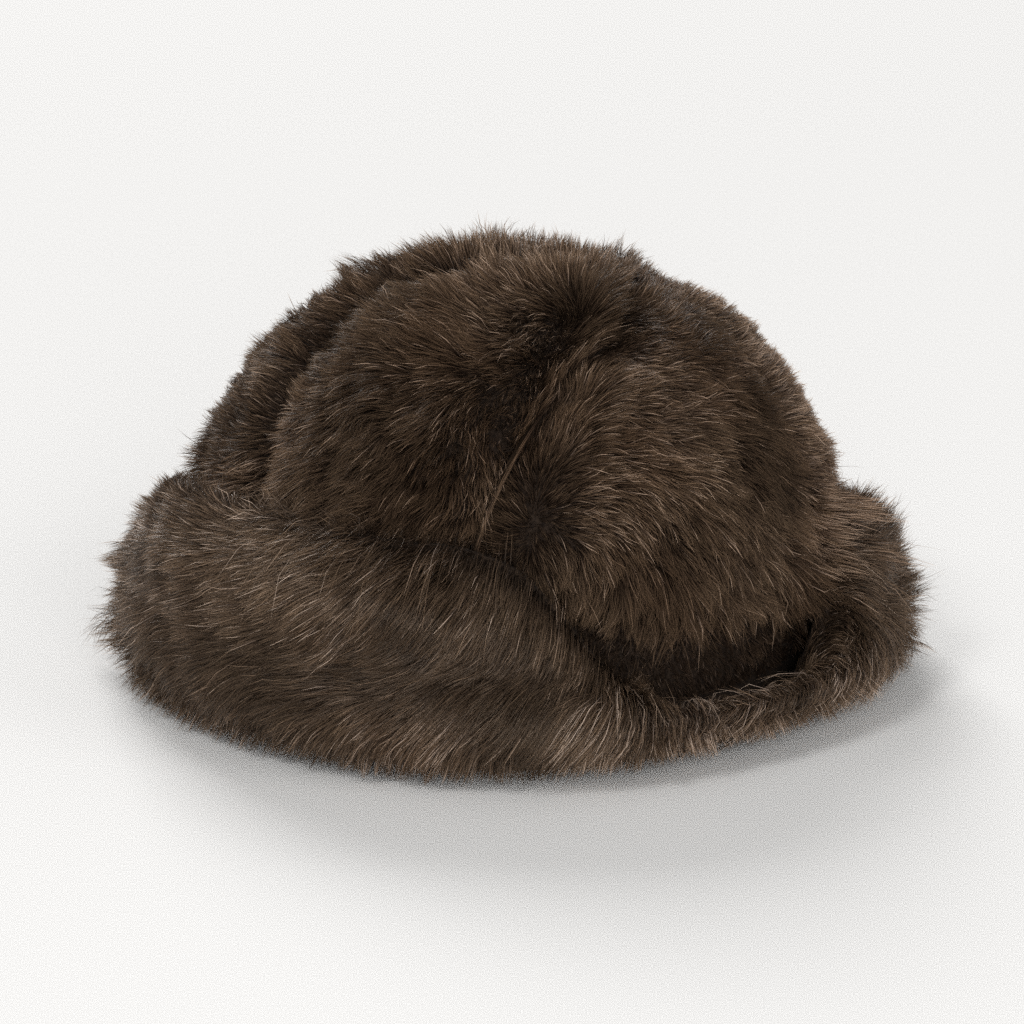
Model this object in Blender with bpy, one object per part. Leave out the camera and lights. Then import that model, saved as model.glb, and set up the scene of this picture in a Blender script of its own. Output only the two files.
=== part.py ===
"""Fur beanie with a turned-up cuff, standing on its fold.

Six crown gores meet at a point right of the middle of the top, and one cuff ring is folded up round them.
Each piece is a wall of backing cloth whose pile is modelled as leaning locks on its outer side.
The front looks along -Y, +Z is up and the origin lies on the floor under the middle of the hat.
"""

import math
import random

import bmesh
import bpy
import numpy as np
from mathutils import Vector

# Sizes are in millimetres, and metres() turns a point into the scene's unit
UNIT = 0.001
SEAM_GAP = 0.4

# The crown: a half ellipsoid, out to the tips of the fur, on a short wall
DOME_BASE = 55.0
DOME_RADIUS = 109.5
DOME_RISE = 93.5
APEX_X = 38.0
APEX_Y = 0.0
LOCK_DEPTH = 9.0
WALL_DEPTH = 18.0
FULL_CELL = 6.0
LEAST_CELL = 0.25
LOCK_LEAN = 0.75
LOCK_JITTER = 0.15
LOCK_EDGE = 0.04
LOWEST_TIP_ROW = 0.5
LIE_TURN = 2.0
GORE_FOOT = 12.3
FOOT_RADII = {"tips": 104.0, "base": 97.0, "inside": 91.5}
WALL_ROWS = 4
DOME_ROWS = 14
GORE_COLUMNS = 9
DOME_END = 0.9925
RELIEF_FIRST_ROW = 2.0
TOP_FADE = 45.0

# Seams of the crown, by their angle from the front, at the cuff and at the top, and how soon they turn
SEAM_COLUMNS = ("at_cuff_deg", "at_top_deg", "turn", "crease_mm")
SEAMS = (
    (-52.0, -80.0, 4.0, 7.5),
    (-8.0, 18.0, 1.3, 3.0),
    (66.0, 96.0, 1.5, 4.0),
    (124.0, 140.0, 1.5, 3.5),
    (182.0, 190.0, 1.5, 3.5),
    (248.0, 232.0, 1.5, 3.5),
)
CREASE_WIDTH = 9.0
PUFF = 1.5
DIMPLE_AT = (28.0, -43.0)
DIMPLE_DEPTH = 4.0
DIMPLE_WIDTH = 11.0

# How the fur of each gore lies: its angle at the cuff and at the top, 0 down the panel, 90 to the right
LIE_COLUMNS = ("at_cuff_deg", "at_top_deg")
GORE_LIE = (
    (-62.0, -105.0),
    (35.0, 100.0),
    (75.0, 120.0),
    (60.0, 100.0),
    (-60.0, -100.0),
    (-80.0, -110.0),
)

# Where the cuff covers the crown no lock grows, and near its rim the locks are short
RIM_CLEAR = 3.0
RIM_FADE = 14.0
RIM_LOCK = 0.5
FRINGE_START = 34.0

# The cuff's section in two states, each point as radius and height, and how far it moves when it is tucked
SECTION_COLUMNS = (
    "standing_radius",
    "standing_height",
    "opened_radius",
    "opened_height",
    "tucked_in",
    "tucked_up",
)
CUFF_SECTION = {
    "lip_inside_top": (91.5, 12.0, 91.5, 12.0, 0.0, 0.0),
    "lip_inside": (91.5, 5.0, 91.5, 5.0, 0.0, 0.0),
    "fold_inside": (94.5, 1.2, 94.5, 1.2, 0.0, 0.0),
    "flat_inside": (98.0, 0.0, 98.0, 0.0, 0.0, 0.0),
    "flat_outside": (112.0, 0.0, 110.0, 0.0, 6.0, 0.0),
    "roll_under": (120.0, 2.5, 117.0, 2.4, 6.0, 3.6),
    "roll_low": (128.0, 9.5, 123.5, 6.8, 5.0, 4.2),
    "roll_middle": (130.5, 18.5, 128.5, 12.0, 2.5, 3.0),
    "roll_high": (128.0, 28.5, 129.5, 17.5, 1.0, 2.0),
    "groove_low": (123.5, 35.5, 127.5, 22.5, 0.0, 1.0),
    "groove": (121.0, 40.5, 124.0, 25.5, 0.0, 0.0),
    "groove_high": (123.0, 46.5, 120.0, 25.5, 0.0, 0.0),
    "bulge_low": (124.5, 54.5, 117.0, 23.5, 0.0, 0.0),
    "bulge_middle": (123.0, 63.5, 115.0, 20.5, 0.0, 0.0),
    "bulge_high": (118.5, 71.5, 113.5, 17.5, 0.0, 0.0),
    "rim_outside": (113.5, 77.5, 112.3, 15.2, 0.0, 0.0),
    "rim_top": (109.0, 80.0, 111.0, 13.6, 0.0, 0.0),
    "rim_inside": (105.5, 76.5, 109.5, 12.6, 0.0, 0.0),
    "inner_high": (105.2, 66.0, 108.0, 12.0, 0.0, 0.0),
    "inner_middle": (105.5, 50.0, 106.4, 11.6, 0.0, 0.0),
    "inner_low": (105.0, 34.0, 104.8, 11.3, 0.0, 0.0),
    "valley_outside": (103.0, 22.0, 103.0, 11.1, 0.0, 0.0),
    "valley_inside": (100.5, 15.0, 101.0, 11.0, 0.0, 0.0),
    "lip_outside_top": (97.5, 12.0, 97.5, 12.0, 0.0, 0.0),
}
STANDING_RIM = 80.0
LEG_START = 12.0
SECTION_STEP = 0.7
CUFF_COLUMNS = 60
CUFF_LOCK_DEPTH = 6.5
CUFF_FULL_CELL = 8.0
CUFF_LOCK_LEAN = 0.68
HOLLOW_LOCK = 0.3
HOLLOW_ROWS = 3.0
RIM_ROWS = 2.0
RIM_LEAN = 0.5
FIRST_TIP_ROW = 0.8
LOWEST_TIP = 0.8
FIRST_LOCK = "roll_under"
LAST_LOCK = "rim_top"

# The cuff round the hat, by the angle from the front: the height of its standing rim, how far it is
# opened outwards from 0 to 1, how far its rim flares, how far its lower roll is tucked in from 0 to 1,
# and how its fur lies, with 0 down and 90 to the right
CUFF_ROUND_COLUMNS = ("angle_deg", "rim_mm", "opened", "flare_mm", "tucked", "lie_deg")
CUFF_ROUND = (
    (-180.0, 56.0, 0.0, 0.0, 0.0, 0.0),
    (-140.0, 54.0, 0.0, 0.0, 0.0, -30.0),
    (-112.0, 54.0, 0.0, 0.0, 0.0, -60.0),
    (-95.0, 66.0, 0.0, 3.0, 0.0, -70.0),
    (-76.0, 78.0, 0.0, 6.0, 0.0, -64.0),
    (-55.0, 80.0, 0.0, 3.0, 0.3, -56.0),
    (-25.0, 80.0, 0.0, 0.0, 0.3, -48.0),
    (-6.0, 80.0, 0.0, 0.0, 0.3, -35.0),
    (6.0, 72.0, 0.1, 0.0, 0.9, -20.0),
    (16.0, 58.0, 0.5, 2.0, 1.0, 0.0),
    (24.0, 58.0, 1.0, 0.0, 1.0, 15.0),
    (50.0, 58.0, 1.0, 0.0, 1.0, 40.0),
    (60.0, 60.0, 0.75, 0.0, 0.9, 60.0),
    (70.0, 64.0, 0.3, 0.0, 0.6, 100.0),
    (80.0, 66.0, 0.0, 2.0, 0.2, 110.0),
    (92.0, 58.0, 0.0, 0.0, 0.0, 100.0),
    (108.0, 48.0, 0.0, 0.0, 0.0, 70.0),
    (140.0, 54.0, 0.0, 0.0, 0.0, 30.0),
    (180.0, 56.0, 0.0, 0.0, 0.0, 0.0),
)
ROUNDING_DEG = 6.0
ROUNDING_SAMPLES = 5

# Fur colours, as sRGB out of 255
CROWN_COLOUR = (58, 47, 38)
CUFF_COLOUR = (66, 54, 44)
FUR_ROUGHNESS = 0.9


def metres(radius_x, depth_y, height_z):
    return Vector((radius_x, depth_y, height_z)) * UNIT


def smooth(share):
    share = min(max(share, 0.0), 1.0)
    return share * share * (3.0 - 2.0 * share)


def mix(first, second, share):
    return first + (second - first) * share


def cuff_value(name, angle_deg):
    """One column of the cuff's table at an angle from the front, with the corners between rows rounded."""
    column = CUFF_ROUND_COLUMNS.index(name)
    angles = [row[0] for row in CUFF_ROUND]
    values = [row[column] for row in CUFF_ROUND]
    wrapped = (angle_deg + 180.0) % 360.0 - 180.0
    around = wrapped + np.linspace(-ROUNDING_DEG, ROUNDING_DEG, ROUNDING_SAMPLES)
    around = (around + 180.0) % 360.0 - 180.0
    return float(np.interp(around, angles, values).mean())


def seam_angle(seam, inward):
    """The angle of a seam from the front, in degrees, where inward is 1 at the dome's base and 0 at its top."""
    turns, index = divmod(seam, len(SEAMS))
    at_cuff, at_top, turn, _ = SEAMS[index]
    return 360.0 * turns + mix(at_top, at_cuff, inward**turn)


def dome_level(row):
    """How far inward the dome has come at a row of the crown: 1 on the wall and near 0 at the top."""
    above = max(row - WALL_ROWS, 0.0) / DOME_ROWS
    return math.cos(min(above, DOME_END) * math.pi / 2.0)


def creases(gore, across, inward, radius):
    """How far the crown's surface sinks at the seams beside a point, and rises between them."""
    wide = math.radians(seam_angle(gore + 1, inward) - seam_angle(gore, inward)) * radius
    fade = min(1.0, radius / TOP_FADE)
    sunk = 0.0
    for seam, away in ((gore, across * wide), (gore + 1, (1.0 - across) * wide)):
        depth = SEAMS[seam % len(SEAMS)][SEAM_COLUMNS.index("crease_mm")]
        sunk += depth * fade * math.exp(-((away / CREASE_WIDTH) ** 2))
    return PUFF * fade * math.sin(math.pi * min(max(across, 0.0), 1.0)) - sunk


def crown_point(gore, across, row, sunk, relief=1.0):
    """A point of the crown in millimetres, and the way out of the surface there.

    across runs from 0 to 1 between the gore's seams, row counts up from its foot, and sunk is the depth
    below the tips of the fur.
    """
    inward = dome_level(row)
    radius = (DOME_RADIUS - sunk) * inward
    foot = np.interp(sunk, (0.0, LOCK_DEPTH, WALL_DEPTH), list(FOOT_RADII.values()))
    up_the_wall = min(row / WALL_ROWS, 1.0)
    if row <= WALL_ROWS:
        radius = mix(foot, DOME_RADIUS - sunk, math.sin(up_the_wall * math.pi / 2.0))
    first = seam_angle(gore, inward)
    last = seam_angle(gore + 1, inward)
    half_gap = math.degrees(SEAM_GAP / 2.0 / radius)
    angle = math.radians(mix(first + half_gap, last - half_gap, across))
    x = APEX_X * (1.0 - inward) + radius * math.sin(angle)
    y = APEX_Y * (1.0 - inward) - radius * math.cos(angle)
    if row <= WALL_ROWS:
        z = mix(GORE_FOOT, DOME_BASE, up_the_wall)
        out = Vector((math.sin(angle), -math.cos(angle), 0.0))
    else:
        wide = DOME_RADIUS - sunk
        rise = DOME_RISE - sunk
        z = DOME_BASE + rise * math.sqrt(max(0.0, 1.0 - (x * x + y * y) / wide**2))
        out = Vector((x / wide**2, y / wide**2, (z - DOME_BASE) / rise**2)).normalized()
    if relief:
        dimple = math.hypot(x - DIMPLE_AT[0], y - DIMPLE_AT[1]) / DIMPLE_WIDTH
        raised = creases(gore, across, inward, radius) * smooth((row - RELIEF_FIRST_ROW) / WALL_ROWS)
        raised -= DIMPLE_DEPTH * math.exp(-dimple * dimple)
        x, y, z = Vector((x, y, z)) + out * raised * relief
    return Vector((x, y, z)), out


def lock_on_crown(gore, column, row, draw):
    """The tip of the lock on one cell of a gore, or None where the cuff covers the crown."""
    across = (column + 0.5) / GORE_COLUMNS
    middle, _ = crown_point(gore, across, row + 0.5, LOCK_DEPTH)
    angle = math.degrees(math.atan2(middle.x, -middle.y))
    opened = cuff_value("opened", angle)
    covered = mix(cuff_value("rim_mm", angle) + RIM_CLEAR, FRINGE_START, opened)
    if middle.z < covered:
        return None
    inward = dome_level(row + 0.5)
    gore_wide = math.radians(seam_angle(gore + 1, inward) - seam_angle(gore, inward))
    cell_wide = gore_wide * DOME_RADIUS * inward / GORE_COLUMNS
    grown = min(1.0, cell_wide / FULL_CELL)
    if grown < LEAST_CELL:
        return None
    lies = dict(zip(LIE_COLUMNS, GORE_LIE[gore]))
    turned = smooth(LIE_TURN * (1.0 - inward))
    lie = math.radians(mix(lies["at_cuff_deg"], lies["at_top_deg"], turned))
    lean = LOCK_LEAN + draw.uniform(-LOCK_JITTER, LOCK_JITTER)
    near_rim = smooth((middle.z - covered) / RIM_FADE)
    tip_across = across + math.sin(lie) * lean / GORE_COLUMNS
    tip_across = min(max(tip_across, LOCK_EDGE), 1.0 - LOCK_EDGE)
    tip_row = row + 0.5 - math.cos(lie) * lean * mix(near_rim, 1.0, opened)
    height = LOCK_DEPTH * grown * mix(RIM_LOCK, 1.0, near_rim) * (1.0 - draw.uniform(0.0, LOCK_JITTER))
    return crown_point(gore, tip_across, max(tip_row, LOWEST_TIP_ROW), LOCK_DEPTH - height)[0]


def cuff_point(angle_deg, along, out_by=0.0):
    """A point of the cuff in millimetres: along counts the points of its section, and out_by lifts it."""
    opened = cuff_value("opened", angle_deg)
    rim = cuff_value("rim_mm", angle_deg)
    flare = cuff_value("flare_mm", angle_deg)
    section = dict(zip(SECTION_COLUMNS, np.array(list(CUFF_SECTION.values())).T))
    standing_height = section["standing_height"]
    above = np.clip((standing_height - LEG_START) / (STANDING_RIM - LEG_START), 0.0, 1.0)
    lift = np.where(standing_height > LEG_START, mix(LEG_START, rim, above), standing_height)
    lean = section["standing_radius"] + flare * above**2
    tucked = cuff_value("tucked", angle_deg)
    radii = mix(lean, section["opened_radius"], opened) - section["tucked_in"] * tucked
    heights = mix(lift, section["opened_height"], opened) + section["tucked_up"] * tucked
    places = np.arange(len(CUFF_SECTION))
    radius = float(np.interp(along, places, radii))
    height = float(np.interp(along, places, heights))
    if out_by:
        beside = (along - SECTION_STEP, along + SECTION_STEP)
        radius_step = np.diff(np.interp(beside, places, radii))[0]
        height_step = np.diff(np.interp(beside, places, heights))[0]
        long = math.hypot(radius_step, height_step)
        radius += height_step / long * out_by
        height -= radius_step / long * out_by
    angle = math.radians(angle_deg)
    return Vector((radius * math.sin(angle), -radius * math.cos(angle), height))


def lock_on_cuff(column, row, draw):
    """The tip of the lock on one cell of the cuff."""
    pitch = 360.0 / CUFF_COLUMNS
    angle = (column + 0.5) * pitch
    lie = math.radians(cuff_value("lie_deg", angle))
    opened = cuff_value("opened", angle)
    names = list(CUFF_SECTION)
    in_hollow = smooth((row - names.index("groove")) / HOLLOW_ROWS) * opened
    near_rim = smooth((row - names.index("bulge_high") + 1.0) / RIM_ROWS)
    tall = (cuff_point(angle, row + 1.0) - cuff_point(angle, float(row))).length
    grown = min(1.0, tall / CUFF_FULL_CELL) * mix(1.0, HOLLOW_LOCK, in_hollow)
    lean = CUFF_LOCK_LEAN + draw.uniform(-LOCK_JITTER, LOCK_JITTER)
    tip_angle = angle + math.sin(lie) * lean * pitch
    down = math.cos(lie) * lean * (1.0 - in_hollow) * (1.0 - RIM_LEAN * near_rim)
    along = max(row + 0.5 - down, names.index("flat_outside") + FIRST_TIP_ROW)
    height = CUFF_LOCK_DEPTH * grown * (1.0 - draw.uniform(0.0, LOCK_JITTER))
    tip = cuff_point(tip_angle, along, height)
    tip.z = max(tip.z, LOWEST_TIP)
    return tip


def fur_material(name, colour):
    material = bpy.data.materials.new(name)
    material.use_nodes = True
    shader = material.node_tree.nodes["Principled BSDF"]
    linear = [((c / 255.0 + 0.055) / 1.055) ** 2.4 for c in colour]
    shader.inputs["Base Color"].default_value = (*linear, 1.0)
    shader.inputs["Roughness"].default_value = FUR_ROUGHNESS
    shader.inputs["Metallic"].default_value = 0.0
    return material


def finished(name, mesh_builder, material):
    """Turns a bmesh in millimetres into a named object of the scene, with its faces out."""
    bmesh.ops.recalc_face_normals(mesh_builder, faces=mesh_builder.faces[:])
    mesh = bpy.data.meshes.new(name)
    mesh_builder.to_mesh(mesh)
    mesh_builder.free()
    mesh.materials.append(material)
    piece = bpy.data.objects.new(name, mesh)
    bpy.context.scene.collection.objects.link(piece)
    return piece


def grow_lock(mesh_builder, face, tip):
    """Raises one face into a four-sided lock that leans to its tip."""
    middle = bmesh.ops.poke(mesh_builder, faces=[face])["verts"][0]
    middle.co = metres(*tip)


def crown_gore(gore, material):
    """One panel of the crown, as a closed wall whose outer side carries its locks."""
    draw = random.Random(100 + gore)
    rows = WALL_ROWS + DOME_ROWS
    columns = GORE_COLUMNS + 1
    builder = bmesh.new()
    grids = {}
    tops = {}
    for side, depth, relief in (("outside", LOCK_DEPTH, 1.0), ("inside", WALL_DEPTH, 0.0)):
        grids[side] = [
            [
                builder.verts.new(metres(*crown_point(gore, column / GORE_COLUMNS, row, depth, relief)[0]))
                for column in range(columns)
            ]
            for row in range(rows)
        ]
        tops[side] = builder.verts.new(metres(*crown_point(gore, 0.5, rows, depth, relief)[0]))
    outside, inside = grids["outside"], grids["inside"]
    locks = []
    for row in range(rows - 1):
        for column in range(columns - 1):
            corners = (
                outside[row][column],
                outside[row][column + 1],
                outside[row + 1][column + 1],
                outside[row + 1][column],
            )
            face = builder.faces.new(corners)
            tip = lock_on_crown(gore, column, row, draw)
            if tip:
                locks.append((face, tip))
            builder.faces.new(
                (
                    inside[row][column],
                    inside[row + 1][column],
                    inside[row + 1][column + 1],
                    inside[row][column + 1],
                )
            )
        for column in (0, columns - 1):
            low, high = outside[row][column], outside[row + 1][column]
            low_in, high_in = inside[row][column], inside[row + 1][column]
            builder.faces.new((low, low_in, high_in))
            builder.faces.new((low, high_in, high))
    for column in range(columns - 1):
        builder.faces.new(
            (outside[0][column + 1], outside[0][column], inside[0][column], inside[0][column + 1])
        )
        for side in (outside, inside):
            top = tops["outside"] if side is outside else tops["inside"]
            builder.faces.new((side[-1][column], side[-1][column + 1], top))
    for column in (0, columns - 1):
        builder.faces.new((outside[-1][column], inside[-1][column], tops["inside"]))
        builder.faces.new((outside[-1][column], tops["inside"], tops["outside"]))
    for face, tip in locks:
        grow_lock(builder, face, tip)
    bmesh.ops.triangulate(builder, faces=[f for f in builder.faces if len(f.verts) > 3])
    return finished(f"crown_gore_{gore + 1}", builder, material)


def cuff_ring(material):
    """The cuff, as one closed ring: its section is carried round the hat and its outer side gets its locks."""
    draw = random.Random(7)
    names = list(CUFF_SECTION)
    builder = bmesh.new()
    rings = [
        [
            builder.verts.new(metres(*cuff_point(column * 360.0 / CUFF_COLUMNS, place)))
            for place in range(len(names))
        ]
        for column in range(CUFF_COLUMNS)
    ]
    locks = []
    for column in range(CUFF_COLUMNS):
        here, beside = rings[column], rings[(column + 1) % CUFF_COLUMNS]
        for place in range(len(names)):
            above = (place + 1) % len(names)
            face = builder.faces.new((here[place], beside[place], beside[above], here[above]))
            if names.index(FIRST_LOCK) <= place < names.index(LAST_LOCK):
                locks.append((face, lock_on_cuff(column, place, draw)))
    for face, tip in locks:
        grow_lock(builder, face, tip)
    bmesh.ops.triangulate(builder, faces=[f for f in builder.faces if len(f.verts) > 3])
    return finished("cuff", builder, material)


def main():
    for old in list(bpy.data.objects):
        bpy.data.objects.remove(old)
    crown_fur = fur_material("crown_fur", CROWN_COLOUR)
    cuff_fur = fur_material("cuff_fur", CUFF_COLOUR)
    hat = bpy.data.objects.new("hat", None)
    bpy.context.scene.collection.objects.link(hat)
    pieces = [crown_gore(gore, crown_fur) for gore in range(len(SEAMS))]
    pieces.append(cuff_ring(cuff_fur))
    for piece in pieces:
        piece.parent = hat


main()
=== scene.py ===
import math

import bpy
import numpy as np
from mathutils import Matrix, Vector
from mathutils.kdtree import KDTree


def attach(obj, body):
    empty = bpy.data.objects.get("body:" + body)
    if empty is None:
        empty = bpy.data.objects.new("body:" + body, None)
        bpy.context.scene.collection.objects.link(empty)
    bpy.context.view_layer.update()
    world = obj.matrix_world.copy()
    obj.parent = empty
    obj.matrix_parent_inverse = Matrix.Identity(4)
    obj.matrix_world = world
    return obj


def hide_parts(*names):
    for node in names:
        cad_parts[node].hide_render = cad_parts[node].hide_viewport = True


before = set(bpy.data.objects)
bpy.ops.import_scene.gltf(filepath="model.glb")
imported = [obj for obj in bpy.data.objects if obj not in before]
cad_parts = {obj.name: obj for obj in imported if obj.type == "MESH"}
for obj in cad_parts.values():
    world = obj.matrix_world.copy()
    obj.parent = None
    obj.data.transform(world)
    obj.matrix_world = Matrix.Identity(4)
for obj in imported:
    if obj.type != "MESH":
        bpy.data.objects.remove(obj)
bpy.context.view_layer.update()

mm = 0.001  # sizes below are in millimetres

# the six crown panels: seam angle at the cuff and at the top, how soon it turns, how deep it sinks
seams = [
    (-52, -80, 4.0, 7.5),
    (-8, 18, 1.3, 3.0),
    (66, 96, 1.5, 4.0),
    (124, 140, 1.5, 3.5),
    (182, 190, 1.5, 3.5),
    (248, 232, 1.5, 3.5),
]

crown = {
    "domeBase": 55.0,  # the wall stands up to here, and the dome is a part of an egg above it
    "domeRadius": 109.5,
    "domeRise": 93.5,
    "topRight": 38.0,  # the panels meet this far right of the middle
    "furDepth": 9.0,
    "wallDepth": 18.0,
    "footHeight": 12.3,
    "footRadii": (104.0, 97.0, 91.5),  # outside of the fur, outside of the wall and inside of it
    "wallRows": 4.0,
    "domeRows": 14.0,
    "puff": 1.5,
    "creaseWidth": 9.0,
    "dimple": (28.0, -43.0),
    "dimpleDepth": 4.0,
    "dimpleWidth": 11.0,
    "seamGap": 0.4,
    "topFade": 45.0,  # nearer the top than this the creases and the puff fade out
    "insideFade": 6.0,
    "skinCuts": 19,
}

# the cuff's section, from the fold up the outside, over the rim and down to the valley:
# radius and height standing, radius and height opened, and how far it moves when tucked
cuffSection = np.array([
    (91.5, 12, 91.5, 12, 0, 0), (91.5, 5, 91.5, 5, 0, 0), (94.5, 1.2, 94.5, 1.2, 0, 0), (98, 0, 98, 0, 0, 0),
    (112, 0, 110, 0, 6, 0), (120, 2.5, 117, 2.4, 6, 3.6), (128, 9.5, 123.5, 6.8, 5, 4.2),
    (130.5, 18.5, 128.5, 12, 2.5, 3), (128, 28.5, 129.5, 17.5, 1, 2), (123.5, 35.5, 127.5, 22.5, 0, 1),
    (121, 40.5, 124, 25.5, 0, 0), (123, 46.5, 120, 25.5, 0, 0), (124.5, 54.5, 117, 23.5, 0, 0),
    (123, 63.5, 115, 20.5, 0, 0), (118.5, 71.5, 113.5, 17.5, 0, 0), (113.5, 77.5, 112.3, 15.2, 0, 0),
    (109, 80, 111, 13.6, 0, 0), (105.5, 76.5, 109.5, 12.6, 0, 0), (105.2, 66, 108, 12, 0, 0),
    (105.5, 50, 106.4, 11.6, 0, 0), (105, 34, 104.8, 11.3, 0, 0), (103, 22, 103, 11.1, 0, 0),
    (100.5, 15, 101, 11, 0, 0), (97.5, 12, 97.5, 12, 0, 0),
])

# round the hat: angle from the front, rim height, how far opened, flare of the rim, how far tucked
cuffRound = np.array([
    (-180, 56, 0, 0, 0), (-140, 54, 0, 0, 0), (-112, 54, 0, 0, 0), (-95, 66, 0, 3, 0), (-76, 78, 0, 6, 0),
    (-55, 80, 0, 3, 0.3), (-25, 80, 0, 0, 0.3), (-6, 80, 0, 0, 0.3), (6, 72, 0.1, 0, 0.9), (16, 58, 0.5, 2, 1),
    (24, 58, 1, 0, 1), (50, 58, 1, 0, 1), (60, 60, 0.75, 0, 0.9), (70, 64, 0.3, 0, 0.6), (80, 66, 0, 2, 0.2),
    (92, 58, 0, 0, 0), (108, 48, 0, 0, 0), (140, 54, 0, 0, 0), (180, 56, 0, 0, 0),
])

cuff = {
    "legStart": 12.0,
    "standingRim": 80.0,
    "rounding": 6.0,
    "furDepth": 4.0,
    "cornerDepth": 4.5,  # the corner at the left is trim
    "cornerAngle": -85,
    "cornerWidth": 18,
    "grooveDepth": 4.5,  # between the roll below and the bulge above
    "grooveRow": 10.0,
    "grooveWidth": 1.3,
    "lowDepth": 3.0,  # low on the outside, so that hair hides the wall's foot
    "skinAround": 144,
    "skinSection": 48,
}

# how the fur lies as seen from the front: place right of and above the hat's foot, and its way in
# degrees, where 0 is right and 90 is up
crownLie = np.array([
    (-94, 88, 165), (-106, 73, 170), (-85, 107, 160), (-72, 120, 160), (-89, 77, 200), (-97, 67, 200),
    (-72, 111, 170), (-59, 127, 155), (-79, 86, 165), (-72, 97, 165), (-81, 72, 205), (-83, 62, 220),
    (-75, 109, 170), (-61, 100, 190), (-44, 92, 215), (-55, 78, 228), (-62, 63, 225), (-69, 73, 215),
    (-50, 56, 218), (-27, 67, 232), (-27, 111, 180), (-27, 125, 160), (-39, 130, 155), (-11, 134, 110),
    (-16, 144, 130), (-32, 83, 225), (-39, 110, 185), (-45, 120, 165), (-15, 124, 150), (-12, 110, 170),
    (-25, 97, 215), (-16, 83, 255), (-11, 72, 243), (-13, 56, 240), (-11, 60, 245), (-5, 90, 250),
    (2, 106, 225), (0, 122, 180), (-20, 50, 235), (10, 128, 150), (10, 119, 190), (5, 114, 210),
    (20, 142, 68), (28, 136, 45), (21, 135, 62), (8, 136, 115), (42, 140, 50), (45, 136, 38), (49, 125, 28),
    (58, 128, 38), (32, 124, 30), (8, 141, 95), (-2, 142, 110), (9, 67, 75), (5, 77, 85), (15, 77, 70),
    (0, 50, 135), (0, 58, 125), (-3, 43, 150), (-2, 34, 255), (8, 32, 280), (11, 43, 290), (17, 88, 60),
    (26, 78, 0), (28, 70, 350), (20, 63, 20), (40, 72, 335), (17, 51, 5), (17, 45, 325), (25, 53, 350),
    (15, 57, 50), (33, 41, 288), (22, 40, 280), (2, 29, 250), (8, 26, 260), (32, 104, 345), (45, 100, 355),
    (58, 88, 350), (66, 97, 342), (73, 83, 325), (62, 73, 325), (84, 72, 310), (90, 56, 300), (75, 60, 305),
    (59, 57, 310), (45, 60, 320), (42, 110, 350), (62, 114, 355), (72, 104, 345), (35, 90, 350),
    (49, 83, 345), (42, 47, 290), (59, 40, 300), (44, 21, 258), (58, 19, 275), (69, 19, 300), (75, 24, 310),
    (83, 21, 265), (94, 16, 288), (102, 19, 275), (28, 30, 265), (45, 33, 272), (62, 30, 285), (79, 37, 295),
    (92, 33, 290), (106, 30, 285), (28, 20, 255), (68, 123, 35), (84, 108, 28), (95, 92, 22), (101, 78, 15),
    (107, 63, 5), (112, 56, 340), (79, 109, 30), (89, 90, 20), (95, 73, 5), (100, 47, 325), (109, 43, 320),
    (116, 37, 320),
])
cuffLie = np.array([
    (-131, 13, 198), (-136, 23, 190), (-136, 1, 205), (-128, -13, 228), (-126, 50, 165), (-126, 42, 185),
    (-120, 36, 203), (-109, 30, 207), (-92, 32, 208), (-71, 26, 213), (-55, 16, 225), (-80, 13, 210),
    (-106, 13, 205), (-119, 3, 210), (-42, 26, 230), (-25, 30, 238), (-14, 36, 248), (-3, 13, 235),
    (-22, 13, 232), (-39, 10, 222), (-64, 1, 200), (-31, 1, 203), (-89, 0, 205), (-49, 0, 200), (-12, 0, 207),
    (-98, -8, 215), (-112, -10, 222), (-70, -13, 217), (-48, -20, 225), (-19, -15, 210), (-14, -26, 230),
    (-79, -24, 232), (-62, -27, 238), (-95, -20, 230), (-48, -32, 245), (-31, -36, 262), (-15, -36, 270),
    (5, -37, 275), (-5, -30, 255), (-117, 57, 140), (-109, 58, 130), (-98, 54, 145), (-80, 54, 172),
    (-80, 42, 200), (-72, 54, 165), (-68, 42, 206), (-55, 54, 125), (-55, 42, 215), (-42, 53, 120),
    (-42, 40, 224), (-25, 52, 130), (-25, 40, 235), (-5, 48, 200), (-8, 34, 243), (-89, 53, 160),
    (-90, 44, 195), (-5, 21, 234), (5, 10, 230), (16, 19, 232), (8, 28, 230), (27, 24, 238), (5, 1, 215),
    (25, 1, 207), (15, 10, 235), (28, 13, 240), (-1, -13, 207), (22, -17, 202), (39, -23, 204),
    (49, -13, 305), (62, -14, 300), (59, -22, 205), (75, -15, 240), (15, -27, 225), (28, -29, 240),
    (42, -29, 250), (78, -15, 235), (92, -10, 235), (111, 1, 237), (95, -17, 300), (82, -24, 315),
    (62, -27, 290), (106, -17, 318), (117, -13, 325), (132, -5, 332), (122, -7, 325), (133, 36, 15),
    (137, 19, 5), (136, 7, 352), (129, 43, 40), (122, 50, 68), (126, 37, 25), (122, 30, 20), (119, 23, 345),
    (122, 10, 300), (112, 16, 250), (129, 20, 0), (116, 47, 60),
])

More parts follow.
